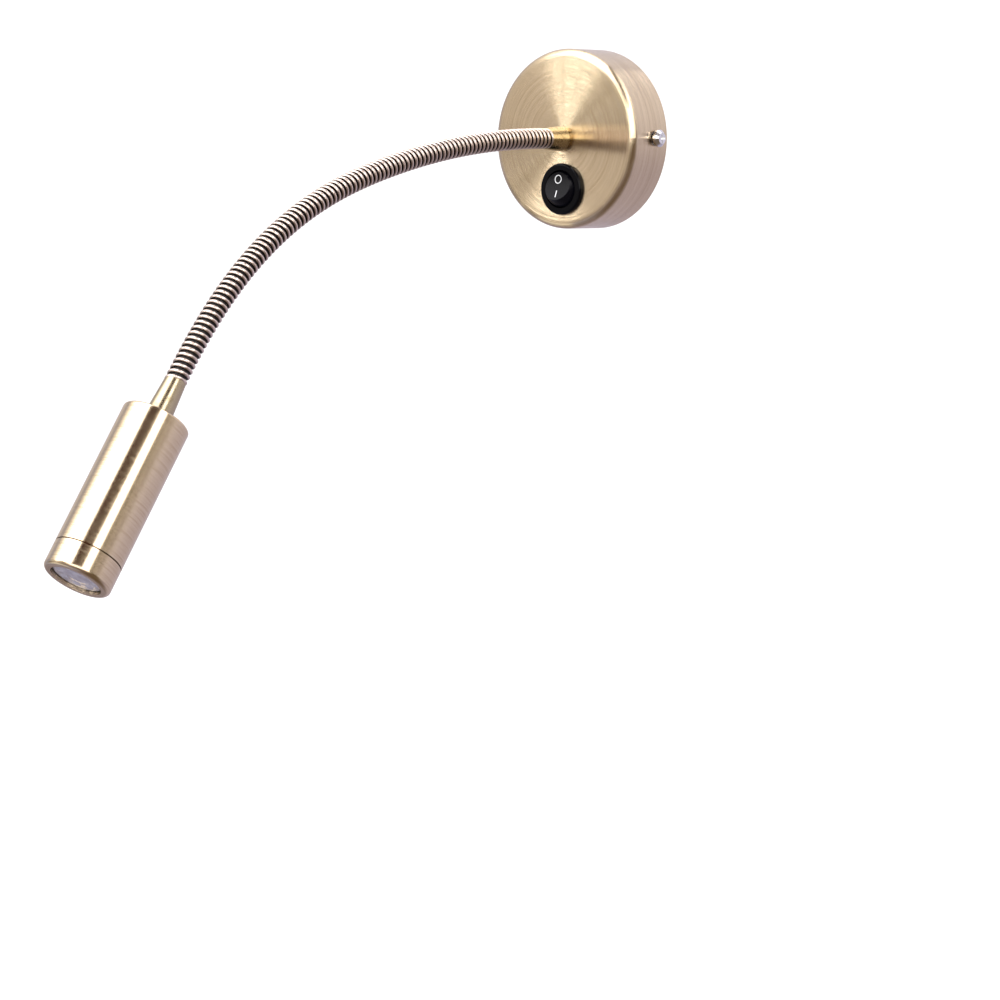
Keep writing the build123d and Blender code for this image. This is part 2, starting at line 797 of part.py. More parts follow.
def heat_sink():
    """Aluminium slug pressed into the tube: a disc, a boss under the board and a slotted body."""
    boss_foot = head_tube_length - front_ring_spigot - heat_sink_ring_gap
    end = boss_foot - heat_sink_length
    sink = rod(head_bore, end, boss_foot) + rod(heat_sink_boss_diameter, boss_foot, led_board_back)
    slot_end = boss_foot - heat_sink_disc
    slot_depth = (head_bore - heat_sink_core_diameter) / 2
    slot_x = (head_bore - slot_depth) / 2 + cut_over
    slot = block(slot_depth + 2 * cut_over, heat_sink_slot_width, end - cut_over, slot_end, x=slot_x)
    for index in range(heat_sink_slots):
        sink -= Rot(0, 0, index * 360 / heat_sink_slots) * slot
    return sink - rod(heat_sink_wire_hole, end - cut_over, led_board_back + cut_over)


# ---------------------------------------------------------------- assembly


def main():
    os.makedirs("parts", exist_ok=True)
    wall_parts = {
        "wall_bracket": wall_bracket(),
        "bracket_earth_screw": bracket_earth_screw(),
        "earth_cup_washer": earth_cup_washer(),
        "canopy_shell": canopy_shell(),
        "canopy_side_screws": canopy_side_screws(),
        "base_ferrule": base_ferrule(),
        "nipple_lock_washer": toothed_washer(face_back - washer_thickness),
        "nipple_nut": hexagon_nut(face_back - washer_thickness - nut_thickness),
        "wire_bush": wire_bush(),
        "driver_case": driver_case(),
        "driver_lid": driver_lid(),
        "driver_board": driver_board(),
        "driver_components": driver_components(),
        "driver_tape": driver_tape(),
        "terminal_block_body": terminal_block_body(),
        "terminal_block_clamps": terminal_block_clamps(),
        "terminal_block_screws": terminal_block_screws(),
        "terminal_block_tape": terminal_block_tape(),
    }
    for name, shape in wall_parts.items():
        save(name, wall_frame.location * shape)

    switch_parts = {
        "switch_housing": switch_housing(),
        "switch_rocker": tilted(switch_rocker(), -rocker_pivot_depth, -rocker_tilt),
        "switch_plunger": tilted(switch_plunger(), -rocker_pivot_depth, -rocker_tilt),
        "switch_spring": tilted(switch_spring(), -rocker_pivot_depth, -rocker_tilt),
        "switch_contact": tilted(switch_contact(), contact_pivot, contact_tilt),
        "switch_terminal_common": terminal(contact_pivot - contact_gap, 0),
        "switch_terminal_load": terminal(load_terminal_top(), contact_reach),
    }
    switch_place = Pos(0, -switch_drop, canopy_depth)
    for name, shape in switch_parts.items():
        save(name, wall_frame.location * (switch_place * shape))

    planes = hose_planes()
    for number in range(section_count):
        save(f"gooseneck_section_{number + 1:02d}", gooseneck_section(number, planes))

    hose_end = planes[-1]
    head_top = hose_end.offset(neck_ferrule_length)
    save("neck_ferrule", hose_end.location * neck_ferrule())
    head_parts = {
        "head_tube": head_tube(),
        "head_washer": toothed_washer(head_top_thickness),
        "head_nut": hexagon_nut(head_top_thickness + washer_thickness),
        "heat_sink": heat_sink(),
        "led_board": led_board(),
        "led_emitter": led_emitter(),
        "lens_holder": lens_holder(),
        "lens": lens(),
        "front_ring": front_ring(),
    }
    for name, shape in head_parts.items():
        save(name, head_top.location * shape)


main()
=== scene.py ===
import json
import math

import bmesh
import bpy
from mathutils import Matrix, Vector


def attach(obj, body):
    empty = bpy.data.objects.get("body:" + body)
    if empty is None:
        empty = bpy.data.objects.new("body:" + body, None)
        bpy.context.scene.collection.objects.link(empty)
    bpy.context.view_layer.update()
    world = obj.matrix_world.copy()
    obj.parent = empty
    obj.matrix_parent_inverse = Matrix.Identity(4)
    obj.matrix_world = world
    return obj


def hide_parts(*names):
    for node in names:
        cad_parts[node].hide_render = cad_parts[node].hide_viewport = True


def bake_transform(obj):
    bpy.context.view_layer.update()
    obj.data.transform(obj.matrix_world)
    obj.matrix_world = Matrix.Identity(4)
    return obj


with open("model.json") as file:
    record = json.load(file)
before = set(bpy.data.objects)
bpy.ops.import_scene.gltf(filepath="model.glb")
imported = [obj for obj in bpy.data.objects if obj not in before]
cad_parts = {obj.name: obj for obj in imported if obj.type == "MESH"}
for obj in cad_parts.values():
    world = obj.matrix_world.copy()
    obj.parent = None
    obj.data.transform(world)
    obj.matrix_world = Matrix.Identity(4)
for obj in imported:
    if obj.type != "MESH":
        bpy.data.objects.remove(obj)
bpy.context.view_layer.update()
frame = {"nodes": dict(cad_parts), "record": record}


mm = 0.001
print("frame loaded")


class Wire:  # a node socket that takes arithmetic
    def __init__(self, tree, socket=None):
        self.tree = tree
        self.socket = socket

    def node(self, kind, settings, sockets, out=0):
        made = self.tree.nodes.new("ShaderNode" + kind)
        for name, value in settings.items():
            setattr(made, name, value)
        for name, value in sockets.items():
            if isinstance(value, Wire):
                self.tree.links.new(value.socket, made.inputs[name])
            else:
                made.inputs[name].default_value = value
        return Wire(self.tree, made.outputs[out])

    def math(self, operation, *values):
        return self.node("Math", {"operation": operation}, dict(enumerate(values)))

    def vector(self, operation, *values, out="Vector"):
        return self.node("VectorMath", {"operation": operation}, dict(enumerate(values)), out)

    def plus(self, other):
        return self.vector("ADD", self, other)

    def cross(self, other):
        return self.vector("CROSS_PRODUCT", self, other)

    def dot(self, other):
        return self.vector("DOT_PRODUCT", self, other, out="Value")

    def unit(self):
        return self.vector("NORMALIZE", self)

    def length(self):
        return self.vector("LENGTH", self, out="Value")

    def scaled(self, amount):
        return self.node("VectorMath", {"operation": "SCALE"}, {0: self, "Scale": amount}, "Vector")

    def parts(self):
        split = self.node("SeparateXYZ", {}, {0: self})
        return [Wire(self.tree, socket) for socket in split.socket.node.outputs]

    def turnFrom(self, base):  # degrees from the base towards this
        return self.math("ARCTAN2", self, base) * (180 / math.pi)

    def mix(self, first, second):  # self is the share of the second colour
        return self.node("Mix", {"data_type": "RGBA"}, {"Factor": self, 6: first, 7: second}, 2)

    def between(self, low, high):
        return self.node("MapRange", {"interpolation_type": "SMOOTHSTEP"}, {0: self, 1: low, 2: high})

    def band(self, low, high, soft):
        return self.between(low - soft, low + soft) * (1 - self.between(high - soft, high + soft))

    def __add__(self, other):
        return self.math("ADD", self, other)

    def __sub__(self, other):
        return self.math("SUBTRACT", self, other)

    def __rsub__(self, other):
        return self.math("SUBTRACT", other, self)

    def __mul__(self, other):
        return self.math("MULTIPLY", self, other)

    __radd__ = __add__
    __rmul__ = __mul__


def rgba(colour):
    return (*colour, 1.0)


def startMaterial(name):
    material = bpy.data.materials.new(name)
    material.use_nodes = True
    return material, Wire(material.node_tree), material.node_tree.nodes["Principled BSDF"]


def setShader(shader, values):
    for name, value in values.items():
        if isinstance(value, Wire):
            value.tree.links.new(value.socket, shader.inputs[name])
        else:
            shader.inputs[name].default_value = value


def objectPlace(start):
    return start.node("TexCoord", {}, {}, "Object")


def noise(place, scale, detail, rough, **more):
    return place.node(
        "TexNoise",
        {"noise_dimensions": "4D" if "W" in more else "3D"},
        {"Vector": place, "Scale": scale, "Detail": detail, "Roughness": rough, **more},
        "Fac",
    )


def bumped(start, height, strength, distance):
    return start.node("Bump", {}, {"Strength": strength, "Distance": distance, "Height": height})


wallX = Vector((1, 0, 0))
wallOut = Vector((0, -1, 0))
wallUp = Vector((0, 0, 1))

gooseneck = {
    "start": 35.7 * mm,  # how far the hose's start stands off the wall
    "pitch": 2.61 * mm,
    "ribsPerSection": 9,
    "sections": 11,
    "droop": 35.0,
    "bend": 19.0,
    "bendStart": 0.42,
    "bendSpan": 0.57,
    "outerRadius": 4.6 * mm,
    "wireWide": 0.78 * mm,  # half the wire's size along the hose
    "wireDeep": 0.74 * mm,
    "wireSides": 14,
    "wedgeRadius": 3.5 * mm,  # the wedge wire that fills the groove; its near-black colour is painted shade between the ribs
    "wedgeSide": 1.5 * mm,
    "wedgeSides": 3,
    "wedgePhase": 0.5,  # turns ahead of the round wire
    "turnSteps": 36,
    "endSink": 2.4 * mm,  # how far the hose goes into each ferrule
}
sectionLength = gooseneck["ribsPerSection"] * gooseneck["pitch"]
hoseLength = gooseneck["sections"] * sectionLength


def dipAt(travel):  # degrees below level after a share of the hose
    share = min(max((travel - gooseneck["bendStart"]) / gooseneck["bendSpan"], 0), 1)
    return gooseneck["droop"] * travel + gooseneck["bend"] * share**2 * (3 - 2 * share)


def heading(dip):
    angle = math.radians(dip)
    return Vector((0, -math.cos(angle), -math.sin(angle)))


halfPitches = 2 * gooseneck["sections"] * gooseneck["ribsPerSection"]
halfPitch = hoseLength / halfPitches
hoseCentres = [wallOut * gooseneck["start"]]
for index in range(halfPitches):
    ahead = heading(dipAt((index + 0.5) / halfPitches))
    hoseCentres.append(hoseCentres[-1] + ahead * halfPitch)


def hoseAt(distance):  # the hose's centre and its direction there
    inside = min(max(distance, 0), hoseLength)
    index = min(int(inside / halfPitch), halfPitches - 1)
    ahead = heading(dipAt(inside / hoseLength))
    share = inside / halfPitch - index
    centre = hoseCentres[index].lerp(hoseCentres[index + 1], share)
    return centre + ahead * (distance - inside), ahead


def onHose(point):  # a straight hose along Z, laid on the real one's path
    centre, ahead = hoseAt(point.z)
    return centre + wallX * point.x + ahead.cross(wallX) * point.y


neckLength = 18.4 * mm
hoseEnd, headAxis = hoseAt(hoseLength)
headTop = hoseEnd + headAxis * neckLength


def finishMesh(name, bm, material, sharp=40.0):
    bmesh.ops.recalc_face_normals(bm, faces=bm.faces)
    for face in bm.faces:
        face.smooth = True
    for edge in bm.edges:
        if len(edge.link_faces) == 2 and edge.calc_face_angle() > math.radians(sharp):
            edge.smooth = False
    mesh = bpy.data.meshes.new(name)
    bm.to_mesh(mesh)
    bm.free()
    mesh.materials.append(material)
    piece = bpy.data.objects.new(name, mesh)
    bpy.context.scene.collection.objects.link(piece)
    return piece


brushed = {
    "light": (0.80, 0.66, 0.46),
    "dark": (0.66, 0.52, 0.34),
    "darkLines": (0.4, 0.75),
    "roughness": 0.12,
    "dullLines": (0.3, 0.8),
    "dulling": 0.08,
    "grain": (150000.0, 1.0, 0.5),  # brush lines to a metre, finer than the eye sees
    "grainArc": 3.0,
    "grainTilt": 1.7,
    "lines": (2800.0, 2.0, 0.6),  # the lines that show: how many, noise detail, noise roughness
    "lineArc": 0.4,
    "lineTilt": 0.22,
    # painted shade: a dark brown laid in the head's groove between its tube and front ring, where shade
    # falls
    "groove": (0.10, 0.05, 0.02),
}
headBrushed = {
    **brushed,
    "grainTilt": 1.0,
    "lineArc": 0.7,
    "lineTilt": 0.30,
    # where the painted groove shade starts and how far along the head it reaches
    "grooveShadeRadius": 13.7 * mm,
    "grooveShadeReach": 66 * mm,
}


def turnedBrass(name, centre, axis, look):
    material, start, shader = startMaterial(name)
    texture = objectPlace(start)
    place = texture.vector("SUBTRACT", texture, centre)
    along = place.dot(axis)
    height = start.node("CombineXYZ", {}, {"X": along * axis.x, "Y": along * axis.y, "Z": along * axis.z})
    spoke = place.vector("SUBTRACT", place, height)
    radius = spoke.length()
    around = spoke.unit()

    def turnedNoise(arc, fineness, detail, rough):  # long round the axis, short across it
        spot = around.scaled(arc).plus(height.scaled(fineness))
        return noise(spot, 1.0, detail, rough, W=radius * fineness)

    grain = turnedNoise(look["grainArc"], *look["grain"])
    lines = turnedNoise(look["lineArc"], *look["lines"])
    slope = (grain - 0.5) * look["grainTilt"] + (lines - 0.5) * look["lineTilt"]
    facing = start.node("TexCoord", {}, {}, "Normal")
    across = facing.cross(around.cross(axis))
    bent = across.scaled(slope).plus(facing).unit()
    normal = bent.node(
        "VectorTransform",
        {"vector_type": "NORMAL", "convert_from": "OBJECT", "convert_to": "WORLD"},
        {"Vector": bent},
    )
    colour = lines.between(*look["darkLines"]).mix(rgba(look["light"]), rgba(look["dark"]))
    # painted shade: inside the groove's radius and short of its reach along the head, the brass is
    # coloured dark brown
    if "grooveShadeRadius" in look:
        inGrooveShade = radius.math("LESS_THAN", radius, look["grooveShadeRadius"])
        above = along.math("LESS_THAN", along, look["grooveShadeReach"])
        colour = (inGrooveShade * above).mix(colour, rgba(look["groove"]))
    setShader(shader, {
        "Base Color": colour,
        "Metallic": 1.0,
        "Roughness": look["roughness"] + lines.between(*look["dullLines"]) * look["dulling"],
        "Normal": normal,
    })
    return material


canopyBrass = turnedBrass("canopyBrass", Vector((0, 0, 0)), wallOut, brushed)
headBrass = turnedBrass("headBrass", headTop, headAxis, headBrushed)

metalSkin = {
    "cloud": (300.0, 3.0, 0.6),  # noise scale, detail and roughness
    "fine": (1800.0, 2.0, 0.5),
    "strength": 0.25,
    "height": 0.02 * mm,
    "tarnish": (0.45, 0.8),
    "dull": (0.3, 0.8),
    "dulling": 0.12,
}
metals = {
    "polished_gold": {
        "name": "polishedGold",
        "light": (0.52, 0.44, 0.29),
        "dark": (0.40, 0.32, 0.19),
        "roughness": 0.22,
        "height": 0.004 * mm,
    },
    "hose_gold": {
        "name": "wireGold",
        "light": (0.84, 0.72, 0.64),
        "dark": (0.68, 0.56, 0.48),
        "roughness": 0.34,
        "recess": (0.03, 0.02, 0.018),  # painted shade between the wound wire's crests: the flanks towards the hose's axis are coloured near-black
        "recessEdge": (0.55, 0.93),
    },
    "chrome_screw": {
        "name": "chrome",
        "light": (0.86, 0.86, 0.88),
        "dark": (0.6, 0.6, 0.62),
        "roughness": 0.12,
    },
    "zinc_steel": {
        "name": "zinc",
        "light": (0.62, 0.64, 0.66),
        "dark": (0.4, 0.42, 0.45),
        "roughness": 0.34,
    },
    "earth_brass": {
        "name": "earthBrass",
        "light": (0.80, 0.62, 0.28),
        "dark": (0.5, 0.36, 0.14),
        "roughness": 0.3,
    },
    "contact_brass": {
        "name": "contactBrass",
        "light": (0.82, 0.64, 0.3),
        "dark": (0.55, 0.4, 0.16),
        "roughness": 0.25,
    },
    "spring_steel": {
        "name": "springSteel",
        "light": (0.55, 0.56, 0.58),
        "dark": (0.35, 0.35, 0.37),
        "roughness": 0.25,
    },
    "heat_sink_aluminium": {
        "name": "aluminium",
        "light": (0.75, 0.75, 0.76),
        "dark": (0.5, 0.5, 0.52),
        "roughness": 0.38,
    },
}


def plated(look):
    look = {**metalSkin, **look}
    material, start, shader = startMaterial(look["name"])
    place = objectPlace(start)
    cloud = noise(place, *look["cloud"])
    colour = cloud.between(*look["tarnish"]).mix(rgba(look["light"]), rgba(look["dark"]))
    # painted shade: the wire is coloured darker from its crest down towards the hose's axis
    if "recess" in look:
        crest = start.node("Attribute", {"attribute_name": "crest"}, {}, "Fac")
        colour = crest.between(*look["recessEdge"]).mix(rgba(look["recess"]), colour)
    setShader(shader, {
        "Base Color": colour,
        "Metallic": 1.0,
        "Roughness": look["roughness"] + cloud.between(*look["dull"]) * look["dulling"],
        "Normal": bumped(start, noise(place, *look["fine"]), look["strength"], look["height"]),
    })
    return material


plasticSkin = {
    "cloud": (130.0, 2.0, 0.5),
    "fine": (2600.0, 2.0, 0.6),
    "strength": 0.35,
    "height": 0.03 * mm,
    "gloss": 0.5,
    "shaded": (0.35, 0.7),
    "shadedTo": 0.8,
    "dull": (0.4, 0.8),
    "dulling": 0.1,
}
plastics = {
    "black_plastic": {
        "name": "bezelPlastic", "colour": (0.002, 0.002, 0.003), "roughness": 0.12, "gloss": 0.1,
    },
    "black_rocker": {
        "name": "rockerPlastic", "colour": (0.002, 0.002, 0.004), "roughness": 0.26, "gloss": 0.13,
    },
    "black_holder": {
        "name": "holderPlastic", "colour": (0.006, 0.006, 0.007), "roughness": 0.4, "gloss": 0.3,
    },
    "bush_plastic": {"name": "whiteNylon", "colour": (0.78, 0.77, 0.72), "roughness": 0.45},
    "driver_plastic": {"name": "driverPlastic", "colour": (0.82, 0.82, 0.80), "roughness": 0.4},
    "components": {"name": "partPlastic", "colour": (0.05, 0.05, 0.07), "roughness": 0.35},
    "led_yellow": {"name": "ledYellow", "colour": (0.85, 0.62, 0.08), "roughness": 0.3},
}


def moulded(look):
    look = {**plasticSkin, **look}
    material, start, shader = startMaterial(look["name"])
    place = objectPlace(start)
    cloud = noise(place, *look["cloud"])
    fine = noise(place, *look["fine"])
    darker = tuple(value * look["shadedTo"] for value in look["colour"])
    setShader(shader, {
        "Base Color": cloud.between(*look["shaded"]).mix(rgba(look["colour"]), rgba(darker)),
        "Roughness": look["roughness"] + fine.between(*look["dull"]) * look["dulling"],
        "Specular IOR Level": look["gloss"],
        "Normal": bumped(start, fine, look["strength"], look["height"]),
    })
    return material


boardSkin = {
    "trackEdge": 0.62,
    "fine": (2400.0, 2.0, 0.5),
    "fineHeight": 0.2,
    "strength": 0.4,
    "height": 0.04 * mm,
    "metal": 0.4,
    "roughness": 0.5,
    "polish": 0.15,
}
boards = {
    "board_green": {
        "name": "greenBoard", "board": (0.02, 0.16, 0.06), "copper": (0.45, 0.36, 0.2), "tracks": 420.0,
    },
    "led_board_white": {
        "name": "whiteBoard", "board": (0.85, 0.85, 0.83), "copper": (0.8, 0.78, 0.7), "tracks": 300.0,
    },
}


def soldered(look):
    look = {**boardSkin, **look}
    material, start, shader = startMaterial(look["name"])
    place = objectPlace(start)
    cells = place.node(
        "TexVoronoi", {"distance": "CHEBYCHEV"}, {"Vector": place, "Scale": look["tracks"]}, "Distance",
    )
    track = cells.math("GREATER_THAN", cells, look["trackEdge"])
    fine = noise(place, *look["fine"])
    setShader(shader, {
        "Base Color": track.mix(rgba(look["board"]), rgba(look["copper"])),
        "Metallic": track * look["metal"],
        "Roughness": look["roughness"] - fine * look["polish"],
        "Normal": bumped(start, track + fine * look["fineHeight"], look["strength"], look["height"]),
    })
    return material


tape = {
    "colour": (0.85, 0.85, 0.82),
    "shadedTo": 0.7,
    "cells": 1900.0,
    "strength": 0.7,
    "height": 0.12 * mm,
    "roughness": 0.9,
}


def foamTape():
    material, start, shader = startMaterial("foamTape")
    place = objectPlace(start)
    cells = place.node("TexVoronoi", {}, {"Vector": place, "Scale": tape["cells"]}, "Distance")
    darker = tuple(value * tape["shadedTo"] for value in tape["colour"])
    setShader(shader, {
        "Base Color": cells.mix(rgba(tape["colour"]), rgba(darker)),
        "Roughness": tape["roughness"],
        "Normal": bumped(start, cells, tape["strength"], tape["height"]),
    })
    return material


lens = {
    "light": (0.42, 0.39, 0.47),
    "dark": (0.32, 0.29, 0.36),
    "cloud": (320.0, 2.0, 0.5),
    "cloudEdge": (0.35, 0.65),
    "roughness": 0.06,
    "dulling": 0.08,
    "clear": 0.3,
    "ior": 1.49,
}


def clearLens():
    material, start, shader = startMaterial("clearLens")
    cloud = noise(objectPlace(start), *lens["cloud"])
    setShader(shader, {
        "Base Color": cloud.between(*lens["cloudEdge"]).mix(rgba(lens["light"]), rgba(lens["dark"])),
        "Roughness": lens["roughness"] + cloud * lens["dulling"],
        "Transmission Weight": lens["clear"],
        "IOR": lens["ior"],
    })
    return material


looks = {"brushed_brass": headBrass, "foam_tape": foamTape(), "clear_lens": clearLens()}
for makeLook, table in ((plated, metals), (moulded, plastics), (soldered, boards)):
    for slot, look in table.items():
        looks[slot] = makeLook(look)
slotOf = {part["node"]: part["material_slot"] for part in frame["record"]["subparts"]}
for name, cadPart in frame["nodes"].items():
    cadPart.data.materials.clear()
    cadPart.data.materials.append(looks[slotOf[name]])
frame["nodes"]["canopy_shell"].data.materials[0] = canopyBrass
print("finishes made")


def woundWire(name, sides, outline, atRadius, phase, reach, material):
    bm = bmesh.new()  # the wire's outline, wound up along Z and then laid on the hose's path
    stand = Matrix.Translation((atRadius, 0, reach[0])) @ Matrix.Rotation(math.pi / 2, 4, "X")
    bmesh.ops.create_circle(bm, segments=sides, radius=1.0, matrix=stand @ outline)
    startTurn = Matrix.Rotation(math.tau * (reach[0] / gooseneck["pitch"] + phase), 3, "Z")
    bmesh.ops.rotate(bm, verts=bm.verts, cent=(0, 0, 0), matrix=startTurn)
    turns = (reach[1] - reach[0]) / gooseneck["pitch"]
    steps = round(turns * gooseneck["turnSteps"])
    rise = turns * gooseneck["pitch"] / steps
    bmesh.ops.spin(
        bm, geom=bm.verts[:] + bm.edges[:], cent=(0, 0, 0), axis=(0, 0, 1), dvec=(0, 0, rise),
        angle=math.tau * turns, steps=steps, use_merge=False, use_duplicate=False,
    )
    bmesh.ops.holes_fill(bm, edges=bm.edges, sides=0)
    # each point's height on the wire's outline, which places the painted shade on its flanks
    crest = bm.verts.layers.float.new("crest")
    inner = gooseneck["outerRadius"] - 2 * gooseneck["wireDeep"]
    for vert in bm.verts:
        vert[crest] = (vert.co.xy.length - inner) / (2 * gooseneck["wireDeep"])
        vert.co = onHose(vert.co)
    return finishMesh(name, bm, material)


# the wedge wire is a real part; its near-black colour is painted shade for the groove between the ribs
grooveDark = moulded({"name": "grooveDark", "colour": (0.010, 0.007, 0.006), "roughness": 0.5})
ribOutline = Matrix.Diagonal((gooseneck["wireDeep"], gooseneck["wireWide"], 1, 1))
wedgeTurn = Matrix.Rotation(math.pi / 2, 4, "Z")
wedgeOutline = Matrix.Scale(gooseneck["wedgeSide"] / math.sqrt(3), 4) @ wedgeTurn
ribAt = gooseneck["outerRadius"] - gooseneck["wireDeep"]
wedgeAt = gooseneck["wedgeRadius"] - gooseneck["wedgeSide"] / math.sqrt(12)
sectionNodes = [f"gooseneck_section_{k:02d}" for k in range(1, gooseneck["sections"] + 1)]
for k in range(gooseneck["sections"] - 1):
    middle = (k + 0.5) * sectionLength
    nextMiddle = middle + sectionLength
    lastPiece = k == gooseneck["sections"] - 2
    reach = (
        middle if k else -gooseneck["endSink"],
        hoseLength + gooseneck["endSink"] if lastPiece else nextMiddle,
    )
    ribs = woundWire(
        f"hose_ribs_{k + 1:02d}", gooseneck["wireSides"], ribOutline, ribAt, 0.0, reach,
        looks["hose_gold"],
    )
    wedge = woundWire(
        f"hose_wedge_{k + 1:02d}", gooseneck["wedgeSides"], wedgeOutline, wedgeAt,
        gooseneck["wedgePhase"], reach, grooveDark,
    )
    for wire in (ribs, wedge):
        hoseAt(middle)[0]
        hoseAt(nextMiddle)[0]
        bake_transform(wire)
    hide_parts(*sectionNodes[k:k + 2] if lastPiece else sectionNodes[k:k + 1])
print("gooseneck wound")

switch = {
    "drop": 22.3 * mm,
    "face": 24.0 * mm,  # the canopy's face, off the wall
    "pivot": 0.6 * mm,
    "tilt": 14.0,
    "ball": 8.2 * mm,
    "rim": 5.3 * mm,
    "dish": 0.8 * mm,
    "markHeight": 0.12 * mm,
    "markSink": 0.05 * mm,
    "markSharp": 30.0,
    "ringAt": 3.3 * mm,
    "ringOuter": 1.95 * mm,
    "ringInner": 1.56 * mm,
    "ringSides": 40,
    "barAt": -3.4 * mm,
    "barLength": 3.2 * mm,
    "barWidth": 0.54 * mm,
}
rimReach = math.sqrt(switch["ball"] ** 2 - switch["rim"] ** 2)
dishRadius = (rimReach**2 + switch["dish"] ** 2) / (2 * switch["dish"])
dishCentre = switch["rim"] - switch["dish"] + dishRadius
wallPlace = Matrix((wallX, wallUp, wallOut)).transposed().to_4x4()
rockerPlace = (
    wallPlace
    @ Matrix.Translation((0, -switch["drop"], switch["face"] - switch["pivot"]))
    @ Matrix.Rotation(-math.radians(switch["tilt"]), 4, "X")
)
markPaint = moulded({"name": "markPaint", "colour": (0.88, 0.88, 0.9), "roughness": 0.4})


def printedMark(name, bm):  # a flat mark, raised a little and laid on the dished face
    grown = bmesh.ops.extrude_face_region(bm, geom=bm.faces[:])
    raised = [item for item in grown["geom"] if isinstance(item, bmesh.types.BMVert)]
    bmesh.ops.translate(bm, verts=raised, vec=(0, 0, switch["markHeight"]))
    for vert in bm.verts:
        vert.co.z += dishCentre - math.sqrt(dishRadius**2 - vert.co.y**2) - switch["markSink"]
        vert.co = rockerPlace @ vert.co
    mark = finishMesh(name, bm, markPaint, sharp=switch["markSharp"])
    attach(mark, "rocker")


bm = bmesh.new()
ringPlace = Matrix.Translation((0, switch["ringAt"], 0))
for radius in (switch["ringOuter"], switch["ringInner"]):
    bmesh.ops.create_circle(bm, segments=switch["ringSides"], radius=radius, matrix=ringPlace)
bmesh.ops.bridge_loops(bm, edges=bm.edges)
printedMark("switch_mark_off", bm)
bm = bmesh.new()
barPlace = Matrix.Translation((0, switch["barAt"], 0))
barSize = Matrix.Diagonal((switch["barWidth"], switch["barLength"], 1, 1))
bmesh.ops.create_grid(bm, x_segments=2, y_segments=8, size=0.5, matrix=barPlace @ barSize)
printedMark("switch_mark_on", bm)
print("switch marked")

view = {
    "azimuth": 40.482,
    "elevation": 5.494,
    "focal": 3307.33,  # pixels, on a frame of 1000
    "back": 1492.688 * mm,
    "right": -43.603 * mm,
    "up": -162.775 * mm,
    "frame": 1000,
    "sensor": 36.0,
}
turn, lift = math.radians(view["azimuth"]), math.radians(view["elevation"])
viewRight = Vector((math.cos(turn), math.sin(turn), 0))
viewBack = Vector((math.sin(turn) * math.cos(lift), -math.cos(turn) * math.cos(lift), math.sin(lift)))
viewUp = viewBack.cross(viewRight)

cove = {
    "floor": -0.5,
    "radius": 3.2,
    "bend": 0.9,
    "bendSteps": 12,
    "sides": 96,
    "top": 3.0,
    "paper": (0.12, 0.12, 0.12),
    "paperDark": (0.1, 0.1, 0.1),
    "mottle": (3.0, 2.0, 0.5),
    "roughness": 0.9,
    "glow": (0.98, 0.98, 0.98),
}


def studioCove():  # a pale floor that curves up all round
    outline = [(0.0, cove["floor"]), (cove["radius"] - cove["bend"], cove["floor"])]
    for step in range(1, cove["bendSteps"] + 1):
        turn = math.pi / 2 * step / cove["bendSteps"]
        outline.append((
            cove["radius"] - cove["bend"] + cove["bend"] * math.sin(turn),
            cove["floor"] + cove["bend"] * (1 - math.cos(turn)),
        ))
    outline.append((cove["radius"], cove["top"]))
    bm = bmesh.new()
    corners = [bm.verts.new((radius, 0, height)) for radius, height in outline]
    for first, second in zip(corners, corners[1:]):
        bm.edges.new((first, second))
    bmesh.ops.spin(
        bm, geom=bm.verts[:] + bm.edges[:], cent=(0, 0, 0), axis=(0, 0, 1), dvec=(0, 0, 0),
        angle=math.tau, steps=cove["sides"], use_merge=True, use_duplicate=False,
    )
    bmesh.ops.remove_doubles(bm, verts=bm.verts, dist=mm)
    material, start, shader = startMaterial("studioPaper")
    mottle = noise(objectPlace(start), *cove["mottle"])
    setShader(shader, {
        "Base Color": mottle.mix(rgba(cove["paper"]), rgba(cove["paperDark"])),
        "Roughness": cove["roughness"],
        "Emission Color": rgba(cove["glow"]),
        "Emission Strength": 1.0,
    })
    paper = finishMesh("studio_cove", bm, material)
    paper.visible_glossy = False


studioCove()

